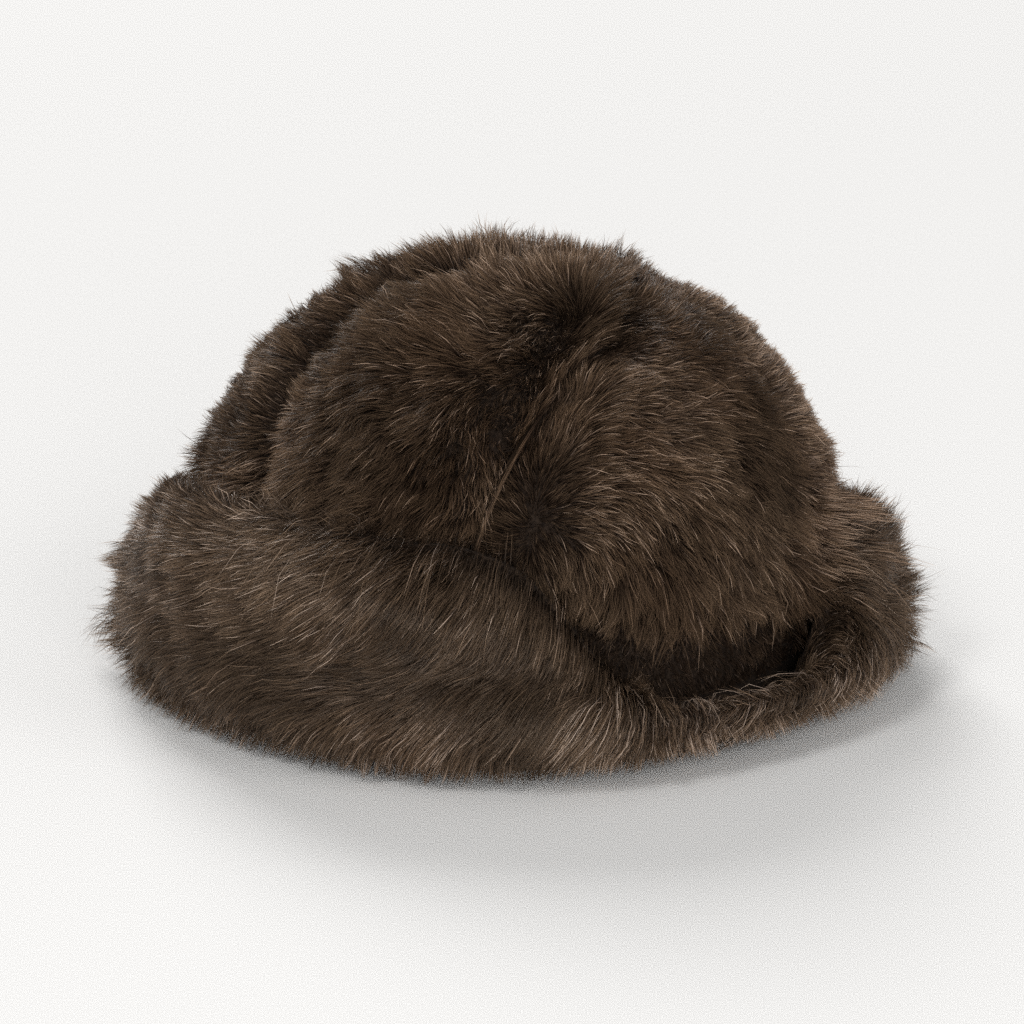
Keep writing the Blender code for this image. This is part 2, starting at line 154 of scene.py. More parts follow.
# how light the fur is beside its middle tone, in the same places: partly the pile's own uneven tone and partly
# painted light and shade, lighter on the crown's top and right edge and low on the cuff's roll, darker in the
# cuff's groove, low in the hollow and along the lowest edge
crownToneAndLight = np.array([
    (-5, 134, 1.6), (15, 140, 1.7), (40, 134, 1.3), (62, 124, 1.6), (79, 107, 1.8), (92, 90, 1.8),
    (101, 77, 1.6), (109, 60, 1.8), (105, 45, 1.8), (-35, 125, 1.1), (-45, 90, 0.8), (-28, 67, 0.7),
    (-55, 77, 0.8), (-62, 100, 1.0), (-75, 83, 1.6), (-82, 63, 1.4), (-88, 80, 0.6), (-96, 90, 1.2),
    (-8, 60, 1.5), (2, 107, 1.15), (8, 98, 1.1), (6, 88, 1.1), (13, 51, 1.1), (-15, 88, 1.0), (15, 77, 1.2),
    (28, 78, 1.5), (45, 77, 1.6), (35, 100, 1.5), (56, 90, 1.6), (84, 67, 0.65), (79, 88, 0.65),
    (22, 52, 1.8), (-3, 53, 0.75), (8, 64, 0.8), (10, 42, 0.9), (28, 115, 0.6), (62, 110, 0.75),
    (42, 30, 0.9), (62, 27, 1.0), (95, 22, 0.9), (60, 4, 1.2), (85, 4, 1.2), (115, 36, 1.9),
])
cuffToneAndLight = np.array([
    (-89, 23, 1.2), (-122, 30, 1.15), (-129, 43, 1.3), (-132, 6, 1.0), (-119, -10, 0.95), (-72, 36, 1.2),
    (-55, 20, 1.15), (-28, 16, 0.7), (-5, 20, 0.85), (15, 13, 0.9), (28, 23, 1.0), (42, 16, 0.9),
    (-72, 0, 0.6), (-110, 4, 0.7), (-92, 1, 0.65), (-55, -1, 0.65), (-22, -3, 0.6), (-38, -2, 0.55),
    (-5, -4, 0.6), (15, -5, 0.55), (-99, -10, 1.0), (-45, -17, 1.3), (-22, -17, 1.5), (28, -20, 1.5),
    (62, -19, 1.9), (82, -17, 1.8), (106, -7, 1.6), (122, 23, 0.95), (126, 37, 1.05), (-55, -32, 0.7),
    (-22, -36, 0.6), (12, -34, 0.6), (45, -30, 0.9), (55, -4, 0.7), (75, -5, 0.7), (95, 0, 0.8),
])

# the line that the crown's fringe hangs down to over the hollow: right of the middle, and up
fringe = np.array([(10, 14), (22, 8), (33, 7), (45, 8), (60, 9), (75, 10), (90, 10), (110, 11), (125, 12)])

# the line that the cuff's hair is clipped to at the bottom, in the same way
hem = np.array([
    (-136, -2), (-122, -15.5), (-95, -24), (-69, -30.5), (-42, -35), (-15, -37.5), (12, -36), (38, -33),
    (65, -26.5), (92, -19), (119, -12), (132, 0),
])

# how it lies where the front can't be seen: angle round the hat, and its turn from down towards the right
lieBehind = np.array([(-180, 0), (-130, -30), (-90, -60), (0, 0), (90, 60), (130, 30), (180, 0)])

camera = {"elevation": 17.0, "lens": 180.0, "sensor": 36.0, "across": 343.04, "aimRight": -1.005, "aimUp": 52.6}


def smooth(share):
    share = np.clip(share, 0.0, 1.0)
    return share * share * (3.0 - 2.0 * share)


def mix(first, second, share):
    return first + (second - first) * share


def bell(value, middle, width):
    # 1 at the middle, falling to 0 on both sides
    return np.exp(-(((value - middle) / width) ** 2))


def spotBell(spot, middle, width):
    return np.exp(-(((spot[:, 0] - middle[0]) ** 2 + (spot[:, 1] - middle[1]) ** 2) / width**2))


def unit(ways):
    return ways / np.maximum(np.linalg.norm(ways, axis=-1, keepdims=True), 1e-9)


def dot(first, second):
    return (first * second).sum(axis=-1, keepdims=True)


def linear(hexColour):
    parts = [int(hexColour[i : i + 2], 16) / 255 for i in (1, 3, 5)]
    return [c / 12.92 if c <= 0.04045 else ((c + 0.055) / 1.055) ** 2.4 for c in parts] + [1.0]


def wander(points, size, seed, waves=7, usual=1.87):
    # slow waves in space, about -1 to 1, that repeat nowhere on the hat
    draw = np.random.default_rng(seed)
    total = np.zeros(len(points))
    for _ in range(waves):
        way = draw.normal(size=3)
        way *= 2 * math.pi / (size * np.linalg.norm(way) * draw.uniform(0.7, 1.5))
        total += np.sin(points @ way + draw.uniform(0, 2 * math.pi))
    return total / usual


# shapes of the two walls, as arrays of points in millimetres


def seamAngle(seam, inward):
    turns, index = divmod(seam, len(seams))
    atCuff, atTop, turn, _ = seams[index]
    return 360.0 * turns + mix(atTop, atCuff, inward**turn)


def crownPoints(gore, across, row, depth):
    c = crown
    above = np.clip(row - c["wallRows"], 0, c["domeRows"]) / c["domeRows"]
    inward = np.cos(above * math.pi / 2)
    foot = np.interp(depth, (0, c["furDepth"], c["wallDepth"]), c["footRadii"])
    up = np.clip(row / c["wallRows"], 0, 1)
    onWall = row <= c["wallRows"]
    wide = c["domeRadius"] - depth
    rise = c["domeRise"] - depth
    radius = np.where(onWall, mix(foot, wide, np.sin(up * math.pi / 2)), wide * inward)
    first, last = seamAngle(gore, inward), seamAngle(gore + 1, inward)
    halfGap = np.degrees(c["seamGap"] / 2 / np.maximum(radius, 2.0))
    angle = np.radians(mix(first + halfGap, last - halfGap, across))
    x = c["topRight"] * (1 - inward) + radius * np.sin(angle)
    y = -radius * np.cos(angle)
    dome = c["domeBase"] + rise * np.sqrt(np.maximum(0, 1 - (x * x + y * y) / wide**2))
    z = np.where(onWall, mix(c["footHeight"], c["domeBase"], up), dome)
    level = np.where(onWall, 0.0, z - c["domeBase"])
    out = unit(np.stack([x / wide**2, y / wide**2, level / rise**2], axis=-1))
    fade = np.minimum(1, radius / c["topFade"])
    arc = np.radians(last - first) * radius
    sunk = 0.0
    for seam, away in ((gore, across * arc), (gore + 1, (1 - across) * arc)):
        sunk = sunk + seams[seam % len(seams)][3] * fade * np.exp(-((away / c["creaseWidth"]) ** 2))
    raised = c["puff"] * fade * np.sin(math.pi * np.clip(across, 0, 1)) - sunk
    raised = raised * smooth((row - 2) / c["wallRows"])
    spot = np.hypot(x - c["dimple"][0], y - c["dimple"][1]) / c["dimpleWidth"]
    raised = raised - c["dimpleDepth"] * np.exp(-spot * spot)
    raised = raised * (1 - smooth((depth - c["furDepth"]) / c["insideFade"]))  # the inside has no creases
    return np.stack([x, y, z], axis=-1) + out * raised[..., None]


def cuffValue(column, angle):
    steps = np.linspace(-cuff["rounding"], cuff["rounding"], 5)
    around = (np.asarray(angle)[..., None] + steps + 180) % 360 - 180
    return np.interp(around, cuffRound[:, 0], cuffRound[:, column]).mean(axis=-1)


def cuffRows(angle):
    rim, opened, flare, tucked = (cuffValue(i, angle)[..., None] for i in (1, 2, 3, 4))
    radius, height, openRadius, openHeight, tuckIn, tuckUp = cuffSection.T
    above = np.clip((height - cuff["legStart"]) / (cuff["standingRim"] - cuff["legStart"]), 0, 1)
    lifted = np.where(height > cuff["legStart"], mix(cuff["legStart"], rim, above), height)
    radii = mix(radius + flare * above**2, openRadius, opened) - tuckIn * tucked
    heights = mix(lifted, openHeight, opened) + tuckUp * tucked
    return radii, heights


def rowAt(values, along):
    along = np.clip(along, 0, values.shape[-1] - 1.001)
    low = along.astype(int)
    first = np.take_along_axis(values, low[..., None], -1)[..., 0]
    second = np.take_along_axis(values, low[..., None] + 1, -1)[..., 0]
    return mix(first, second, along - low)


def cuffPoints(angle, along, outBy=0.0):
    radii, heights = cuffRows(angle)
    radius, height = rowAt(radii, along), rowAt(heights, along)
    stepOut = rowAt(radii, along + 0.7) - rowAt(radii, along - 0.7)
    stepUp = rowAt(heights, along + 0.7) - rowAt(heights, along - 0.7)
    long = np.maximum(np.hypot(stepOut, stepUp), 1e-6)
    radius = radius + stepUp / long * outBy
    height = height - stepOut / long * outBy
    turn = np.radians(angle)
    return np.stack([radius * np.sin(turn), -radius * np.cos(turn), height], axis=-1)


def cuffWall(angle, along):
    # where the hair stands, under the solid's own surface, which is the outside of the fur:
    # deeper from the fold to the rim, at the left corner and low on the outside, and raised in the groove
    c = cuff
    standing = 1 - cuffValue(2, angle)
    deep = c["furDepth"] * smooth((along - 3.0) / 1.5) * (1 - smooth((along - 15.5) / 2.0))
    corner = c["cornerDepth"] * bell(angle, c["cornerAngle"], c["cornerWidth"])
    corner = corner * smooth((along - 11) / 2) * (1 - smooth((along - 16) / 2))
    groove = c["grooveDepth"] * bell(along, c["grooveRow"], c["grooveWidth"]) * standing
    low = c["lowDepth"] * smooth((along - 3.5) / 1.0) * (1 - smooth((along - 7.0) / 2.0))
    return cuffPoints(angle, along, groove - corner - deep - low)


# the camera's way of seeing, which the lie of the fur is given in

tilt = math.radians(camera["elevation"])
seeRight = np.array([1.0, 0.0, 0.0])
seeUp = np.array([0.0, math.sin(tilt), math.cos(tilt)])
seeInto = np.array([0.0, math.cos(tilt), -math.sin(tilt)])
seeFar = camera["across"] * camera["lens"] / camera["sensor"]
aim = seeRight * camera["aimRight"] + seeUp * camera["aimUp"]
eye = aim - seeInto * seeFar


def seen(points):
    # place right of and above the hat's foot in the picture, in millimetres
    away = points - eye
    near = seeFar / (away @ seeInto)
    right = away @ seeRight * near + camera["aimRight"]
    above = away @ seeUp * near + camera["aimUp"]
    return np.stack([right, above], axis=-1)


# materials


def addNode(tree, kind, settings=None, links=None):
    node = tree.nodes.new(kind)
    for name, value in (settings or {}).items():
        if name in node.inputs:
            node.inputs[name].default_value = value
        else:
            setattr(node, name, value)
    for name, source in (links or {}).items():
        tree.links.new(source, node.inputs[name])
    return node


def ramp(tree, source, stops):
    node = addNode(tree, "ShaderNodeValToRGB", links={"Fac": source})
    marks = node.color_ramp.elements
    while len(marks) < len(stops):
        marks.new(0.5)
    for mark, (place, colour) in zip(marks, stops):
        mark.position = place
        mark.color = colour
    return node.outputs["Color"]


shadeRange = (0.15, 4.0)  # the darkest and lightest hair beside the middle one


def furMaterial(name, look):
    # modacrylic pile: dark at the root, warmer and lighter to the tip, each hair a little different,
    # the lightest ones, which carry the painted glints, greyer as painted highlight, with a thin shine along
    # the hair
    material = bpy.data.materials.new(name)
    material.use_nodes = True
    tree = material.node_tree
    shader = tree.nodes["Principled BSDF"]
    mapNode = addNode(tree, "ShaderNodeUVMap", {"uv_map": "strand"})
    parts = addNode(tree, "ShaderNodeSeparateXYZ", links={"Vector": mapNode.outputs["UV"]})
    along = ramp(tree, parts.outputs["Y"], [
        (0.0, linear(look["root"])), (0.45, linear(look["middle"])), (1.0, linear(look["tip"]))])
    shade = addNode(tree, "ShaderNodeMapRange", {"From Min": 0.0, "From Max": 1.0,
        "To Min": shadeRange[0], "To Max": shadeRange[1]}, {"Value": parts.outputs["X"]})
    place = addNode(tree, "ShaderNodeTexCoord")
    patches = addNode(tree, "ShaderNodeTexNoise", {"Scale": 1000 / look["patchSize"], "Detail": 2.0},
        {"Vector": place.outputs["Object"]})
    warm = addNode(tree, "ShaderNodeMix", {"data_type": "RGBA", "blend_type": "MULTIPLY"})
    warm.inputs["Factor"].default_value = look["patchDepth"]
    tree.links.new(along, warm.inputs["A"])
    tree.links.new(ramp(tree, patches.outputs["Fac"], [
        (0.3, linear(look["patchDark"])), (0.7, linear(look["patchLight"]))]), warm.inputs["B"])
    # painted highlight: the lightest hairs lose colour, down to the look's glintGreying share
    pale = addNode(tree, "ShaderNodeMapRange", {"From Min": 0.35, "From Max": 0.8,
        "To Min": 1.0, "To Max": look["glintGreying"]}, {"Value": parts.outputs["X"]})
    greyed = addNode(tree, "ShaderNodeHueSaturation", links={
        "Color": warm.outputs["Result"], "Saturation": pale.outputs["Result"]})
    lit = addNode(tree, "ShaderNodeVectorMath", {"operation": "SCALE"},
        {"Vector": greyed.outputs["Color"], "Scale": shade.outputs["Result"]})
    tree.links.new(lit.outputs["Vector"], shader.inputs["Base Color"])
    tangent = addNode(tree, "ShaderNodeTangent", {"direction_type": "UV_MAP", "uv_map": "strand"})
    tree.links.new(tangent.outputs["Tangent"], shader.inputs["Tangent"])
    shader.inputs["Roughness"].default_value = look["roughness"]
    shader.inputs["Anisotropic"].default_value = look["anisotropic"]
    shader.inputs["Specular IOR Level"].default_value = look["shine"]
    shader.inputs["Specular Tint"].default_value = linear(look["glint"])
    return material


def skinMaterial(name, look):
    # the dense underfur against the backing: dark, matt and fine
    material = bpy.data.materials.new(name)
    material.use_nodes = True
    tree = material.node_tree
    shader = tree.nodes["Principled BSDF"]
    place = addNode(tree, "ShaderNodeTexCoord")
    fine = addNode(tree, "ShaderNodeTexNoise", {"Scale": 1000 / look["grain"], "Detail": 6.0, "Roughness": 0.7},
        {"Vector": place.outputs["Object"]})
    colour = ramp(tree, fine.outputs["Fac"], [(0.35, linear(look["root"])), (0.75, linear(look["middle"]))])
    tree.links.new(colour, shader.inputs["Base Color"])
    bump = addNode(tree, "ShaderNodeBump", {"Strength": 0.8, "Distance": 1.0 * mm},
        {"Height": fine.outputs["Fac"]})
    tree.links.new(bump.outputs["Normal"], shader.inputs["Normal"])
    shader.inputs["Roughness"].default_value = 0.95
    shader.inputs["Specular IOR Level"].default_value = 0.2
    return material


crownLook = {
    "root": "#1a130f", "middle": "#3f3228", "tip": "#745f4b",
    "patchSize": 45.0, "patchDepth": 0.6,
    "patchDark": "#c8b8ac", "patchLight": "#ffffff", "glint": "#ffd9b8", "glintGreying": 0.8,
    "roughness": 0.42, "anisotropic": 0.6, "shine": 0.14, "grain": 1.5,
}
cuffLook = {
    "root": "#17110d", "middle": "#45372c", "tip": "#806a55",
    "patchSize": 55.0, "patchDepth": 0.5,
    "patchDark": "#cdbfb4", "patchLight": "#ffffff", "glint": "#ffe8d4", "glintGreying": 0.68,
    "roughness": 0.3, "anisotropic": 0.6, "shine": 0.35, "grain": 1.5,
}
crownFurMaterial = furMaterial("modacrylic crown pile", crownLook)
cuffFurMaterial = furMaterial("modacrylic cuff pile", cuffLook)
crownSkinMaterial = skinMaterial("crown underfur and backing", crownLook)
cuffSkinMaterial = skinMaterial("cuff underfur and backing", cuffLook)
print("materials made")

# the walls that the fur stands on


def startPiece():
    bpy.ops.object.select_all(action="DESELECT")


def setPlaces(piece, points):
    piece.data.vertices.foreach_set("co", (points * mm).astype(np.float32).ravel())
    piece.data.update()


def places(piece):
    values = np.empty(len(piece.data.vertices) * 3, np.float32)
    piece.data.vertices.foreach_get("co", values)
    return values.reshape(-1, 3).astype(float)


def finishSkin(piece, name, material):
    bpy.ops.object.mode_set(mode="EDIT")
    bpy.ops.mesh.select_all(action="SELECT")
    bpy.ops.mesh.remove_doubles(threshold=0.00005)
    bpy.ops.mesh.normals_make_consistent(inside=False)
    bpy.ops.object.mode_set(mode="OBJECT")
    bpy.ops.object.shade_smooth_by_angle(angle=math.radians(50))
    piece.name = piece.data.name = name
    piece.data.materials.append(material)
    return piece


def makeCrownSkin(gore):
    startPiece()
    bpy.ops.mesh.primitive_cube_add(size=1, location=(0, 0, 0))
    piece = bpy.context.object
    bpy.ops.object.mode_set(mode="EDIT")
    bpy.ops.mesh.select_all(action="SELECT")
    bpy.ops.mesh.subdivide(number_cuts=crown["skinCuts"])
    bpy.ops.object.mode_set(mode="OBJECT")
    box = places(piece) + 0.5  # across the panel, up it and out through the wall, each 0 to 1
    rows = crown["wallRows"] + crown["domeRows"]
    depth = mix(crown["wallDepth"], crown["furDepth"], box[:, 2])
    setPlaces(piece, crownPoints(gore, box[:, 0], box[:, 1] * rows, depth))
    return finishSkin(piece, f"crown_skin_{gore + 1}", crownSkinMaterial)


def makeCuffSkin():
    around, section = cuff["skinAround"], cuff["skinSection"]
    startPiece()
    bpy.ops.mesh.primitive_torus_add(
        major_segments=around, minor_segments=section, major_radius=1, minor_radius=0.2, location=(0, 0, 0))
    piece = bpy.context.object
    number = np.arange(around * section)
    angle = number // section * 360.0 / around
    along = number % section * len(cuffSection) / section
    closed = np.where(along > len(cuffSection) - 1, along - (len(cuffSection) - 1), 0)  # back to the first row
    onTheLeft = (angle + 180) % 360 - 180
    points = cuffWall(onTheLeft, along)
    first = cuffPoints(angle, np.zeros(len(number)))
    setPlaces(piece, mix(points, first, closed[:, None]))
    return finishSkin(piece, "cuff_skin", cuffSkinMaterial)


crownSkins = [makeCrownSkin(gore) for gore in range(len(seams))]
cuffSkin = makeCuffSkin()
print("walls made")

# fur

hair = {
    "lieNear": 9.0,  # how far, in square millimetres, a noted lie or tone holds before its neighbours do
    "lieWide": 70.0,
    "toneNear": 40.0,
    "partedLift": 45,  # hair stands up where the lies beside it disagree
    "looseLonger": 1.25,  # for the few hairs that stand away from the rest
    "looseLift": 14,
    "tuftCurve": 1.2,
    "floorGap": 0.4,
    "shortest": 0.25,  # how much is left at least of a hair that is cut
    "hemBelow": -4.5,  # each tuft ends this far below to above the hem
    "hemAbove": 3.5,
    "edgeHold": 0.4,
    "edgeWider": 1.35,  # hair that faces away is wider, because there is less of it
    "paintedGlint": (2.2, 4.6),  # how many times lighter a hair with a painted glint is
    "roundness": 0.8,
    "behindShare": 0.4,  # how much of the hair grows where the front can't see it
}


def surfaceFrame(surface, p, q, stepP, stepQ):
    # points with the way out, down and right along the wall, and how far one step of p and of q goes
    here = surface(p, q)
    alongP = (surface(p + stepP, q) - surface(p - stepP, q)) / (2 * stepP)
    alongQ = (surface(p, q + stepQ) - surface(p, q - stepQ)) / (2 * stepQ)
    out = unit(np.cross(alongP, alongQ))
    outward = here * (1, 1, 0) + (0, 0, 30)  # away from the hat's middle line, and a little up
    out = np.where(dot(out, outward) < 0, -out, out)
    down = unit(np.array([0.0, 0.0, -1.0]) + out * out[:, 2:3])
    return here, out, down, np.cross(out, down), alongP, alongQ


def pickRoots(surface, boxLow, boxHigh, steps, count, weightOf, seed, perRoot=6):
    # places spread evenly over the wall by area, then thinned by weight
    draw = np.random.default_rng(seed)
    tries = count * perRoot
    p = draw.uniform(boxLow[0], boxHigh[0], tries)
    q = draw.uniform(boxLow[1], boxHigh[1], tries)
    here, out, _, _, alongP, alongQ = surfaceFrame(surface, p, q, *steps)
    area = np.linalg.norm(np.cross(alongP, alongQ), axis=1)
    chance = area * weightOf(p, q, here, out)
    picked = draw.choice(tries, size=count, replace=False, p=chance / chance.sum())
    return p[picked], q[picked]


def toneAndLightAt(table, here):
    gap = ((seen(here)[:, None, :] - table[None, :, :2]) ** 2).sum(axis=2)
    pull = 1 / (gap + hair["toneNear"]) ** 2
    return pull @ table[:, 2] / pull.sum(axis=1)


def furWay(table, here, out, down, right):
    # the lie of the fur at each root: from the table where the front sees it, else by the angle round the hat
    spot = seen(here)
    gap = ((spot[:, None, :] - table[None, :, :2]) ** 2).sum(axis=2)
    pull = 1 / (gap + hair["lieNear"]) ** 2
    turn = np.radians(table[:, 2])
    flat = unit(np.stack([pull @ np.cos(turn), pull @ np.sin(turn)], axis=1))
    wider = 1 / (gap + hair["lieWide"]) ** 2
    agreed = np.hypot(wider @ np.cos(turn), wider @ np.sin(turn)) / wider.sum(axis=1)  # low where the fur parts
    front = flat[:, :1] * seeRight + flat[:, 1:] * seeUp
    # laid on the wall along the way the camera looks, so that it keeps its way in the picture
    slant = np.minimum(dot(seeInto[None, :], out), -0.45)
    front = unit(front - seeInto * dot(front, out) / slant)
    front = front - out * dot(front, out)
    angle = np.degrees(np.arctan2(here[:, 0], -here[:, 1]))
    lie = np.radians(np.interp(angle, lieBehind[:, 0], lieBehind[:, 1]))[:, None]
    behind = np.cos(lie) * down + np.sin(lie) * right
    facing = -(out @ seeInto)
    share = smooth((facing + 0.4) / 0.4)[:, None]
    return unit(mix(behind, unit(front), share)), mix(1.0, agreed, share[:, 0])


def growStrands(kind, p, q, surface, steps, table, draw):
    # every strand's middle line, as (strands, points, 3), with the wall's way out at its root
    here, out, down, right, alongP, alongQ = surfaceFrame(surface, p, q, *steps)
    way, agreed = furWay(table, here, out, down, right)
    combed = kind["combed"](p, q)
    way = unit(mix(way, unit(-alongQ), combed[:, None]))
    side = np.cross(out, way)
    count, parts = len(p), kind["parts"]
    swing = kind["sway"] * wander(here, 34, 11) + kind["curl"] * wander(here, 10, 12)
    swing = np.radians((swing + draw.normal(0, kind["stray"], count)) * (1 - 0.7 * combed))[:, None]
    way = way * np.cos(swing) + side * np.sin(swing)
    side = np.cross(out, way)
    long = kind["length"] * (1 + 0.13 * wander(here, 26, 13) + 0.08 * wander(here, 8, 14))
    long = long * np.clip(draw.normal(1, kind["uneven"], count), 0.45, 1.5) * kind["lengthOf"](p, q, here)
    edge = smooth(1 - 2.5 * np.abs(out @ seeInto))
    lift = kind["lift"] + edge * kind["edgeLift"] + kind["ruffle"] * wander(here, 13, 15)
    lift = lift + hair["partedLift"] * (1 - agreed)
    loose = draw.random(count) < kind["loose"]
    long = np.where(loose, long * hair["looseLonger"], long)
    lift = np.where(loose, lift + hair["looseLift"], lift)
    lift = lift * kind["liftOf"](p, q, here) + draw.normal(0, kind["liftStray"], count)
    bend = kind["bend"] * draw.uniform(0.7, 1.3, count)
    wave = draw.normal(0, kind["wave"], count)
    wavePhase = draw.uniform(0, 2 * math.pi, count)
    path = np.empty((count, parts + 1, 3))
    path[:, 0] = here
    flat, high, aside = np.zeros(count), np.zeros(count), np.zeros(count)
    for step in range(parts):
        middle = (step + 0.5) / parts
        slope = np.radians(lift + bend * (0.5 - middle))
        flat = flat + long / parts * np.cos(slope)
        high = high + long / parts * np.sin(slope)
        aside = wave * np.sin(wavePhase + middle * 4.0) * middle * long
        gone = way * flat[:, None] + side * aside[:, None]
        path[:, step + 1] = kind["walk"](p, q, here, out, gone, high, alongP, alongQ)
    return path, out, long / kind["length"]


def gather(path, clumpPath, owner, hold):
    # the strands of a tuft lean together towards its tip
    parts = path.shape[1] - 1
    share = (np.arange(parts + 1) / parts) ** hair["tuftCurve"]
    goal = clumpPath[owner]
    return path + (goal - path) * (share[None, :, None] * hold[:, None, None])


def clipped(path, out, uneven):
    # hair is cut where it would lie on the floor, and along the hem
    root, tip = path[:, 0], path[:, -1]
    drop = np.maximum(root[:, 2] - tip[:, 2], 1e-3)
    share = np.where(tip[:, 2] < hair["floorGap"], (root[:, 2] - hair["floorGap"]) / drop, 1.0)
    here, end = seen(root), seen(tip)
    low = np.interp(end[:, 0], hem[:, 0], hem[:, 1]) + uneven
    drop = np.maximum(here[:, 1] - end[:, 1], 1e-3)
    over = (end[:, 1] < low) & (out @ seeInto < 0.1)
    share = np.where(over, np.minimum(share, (here[:, 1] - low) / drop), share)
    return root[:, None] + (path - root[:, None]) * np.clip(share, hair["shortest"], 1.0)[:, None, None]


def shadeOf(light):
    # how light a hair is beside the middle one, as its place across the map
    return np.clip((light - shadeRange[0]) / (shadeRange[1] - shadeRange[0]), 0, 0.98)


def ribbons(path, out, width, shade, share, draw, twist):
    # a thin tapered ribbon along each line, turned at random about it, with normals that round it off
    count, points, _ = path.shape
    parts = points - 1
    ahead = unit(np.gradient(path, axis=1))
    facing = unit(out + draw.normal(0, twist, (count, 3)))[:, None, :]
    side = unit(np.cross(ahead, facing))
    up = unit(np.cross(side, ahead))
    taper = np.array([0.8, 1.0, 0.85, 0.0] if parts == 3 else [1.0, 0.75, 0.0])
    half = (width[:, None] * taper[None, :] / 2)[:, :, None]
    left, rightSide = path - side * half, path + side * half
    verts = np.empty((count, 2 * parts + 1, 3))
    normals = np.empty_like(verts)
    verts[:, 0:-1:2], verts[:, 1:-1:2], verts[:, -1] = left[:, :parts], rightSide[:, :parts], path[:, -1]
    normals[:, 0:-1:2] = unit(up - side * hair["roundness"])[:, :parts]
    normals[:, 1:-1:2] = unit(up + side * hair["roundness"])[:, :parts]
    normals[:, -1] = up[:, -1]
    # across the map is how light the hair is, up it is how far from the root, and short hair stays in the dark
    # root colour: painted shade wherever the hair is cut short
    uv = np.empty((count, 2 * parts + 1, 2))
    uv[:, 0:-1:2, 0], uv[:, 1:-1:2, 0], uv[:, -1, 0] = shade[:, None], shade[:, None] + 0.01, shade + 0.005
    rise = np.arange(parts + 1) / parts * np.clip(1.3 * share, 0.2, 1.0)[:, None]
    uv[:, 0:-1:2, 1], uv[:, 1:-1:2, 1], uv[:, -1, 1] = rise[:, :-1], rise[:, :-1], rise[:, -1]
    faces = []
    for step in range(parts - 1):
        a = 2 * step
        faces += [(a, a + 1, a + 3), (a, a + 3, a + 2)]
    faces.append((2 * parts - 2, 2 * parts - 1, 2 * parts))
    faces = np.array(faces)[None] + (np.arange(count) * (2 * parts + 1))[:, None, None]
    return verts.reshape(-1, 3), normals.reshape(-1, 3), uv.reshape(-1, 2), faces.reshape(-1, 3)


def joinedMesh(name, groups, material):
    start, verts, normals, uvs, faces = 0, [], [], [], []
    for v, n, u, f in groups:
        verts.append(v)
        normals.append(n)
        uvs.append(u)
        faces.append(f + start)
        start += len(v)
    verts, normals, uvs, faces = (np.concatenate(x) for x in (verts, normals, uvs, faces))
    onFloor = 0.3 + 0.4 * np.abs(np.sin(verts[:, 0] * 9))  # hair that reaches the floor lies on it unevenly
    verts[:, 2] = np.where(verts[:, 2] < 0.3, onFloor, verts[:, 2])
    mesh = bpy.data.meshes.new(name)
    mesh.vertices.add(len(verts))
    mesh.vertices.foreach_set("co", (verts * mm).astype(np.float32).ravel())
    mesh.loops.add(faces.size)
    mesh.loops.foreach_set("vertex_index", faces.astype(np.int32).ravel())
    mesh.polygons.add(len(faces))
    mesh.polygons.foreach_set("loop_start", np.arange(0, faces.size, 3, dtype=np.int32))
    mesh.update(calc_edges=True)
    layer = mesh.uv_layers.new(name="strand")
    layer.data.foreach_set("uv", uvs[faces.ravel()].astype(np.float32).ravel())
    mesh.shade_smooth()
    mesh.normals_split_custom_set_from_vertices(normals.astype(np.float32))
    mesh.materials.append(material)
    piece = bpy.data.objects.new(name, mesh)
    bpy.context.scene.collection.objects.link(piece)
    print(name, len(faces), "triangles")
    return piece


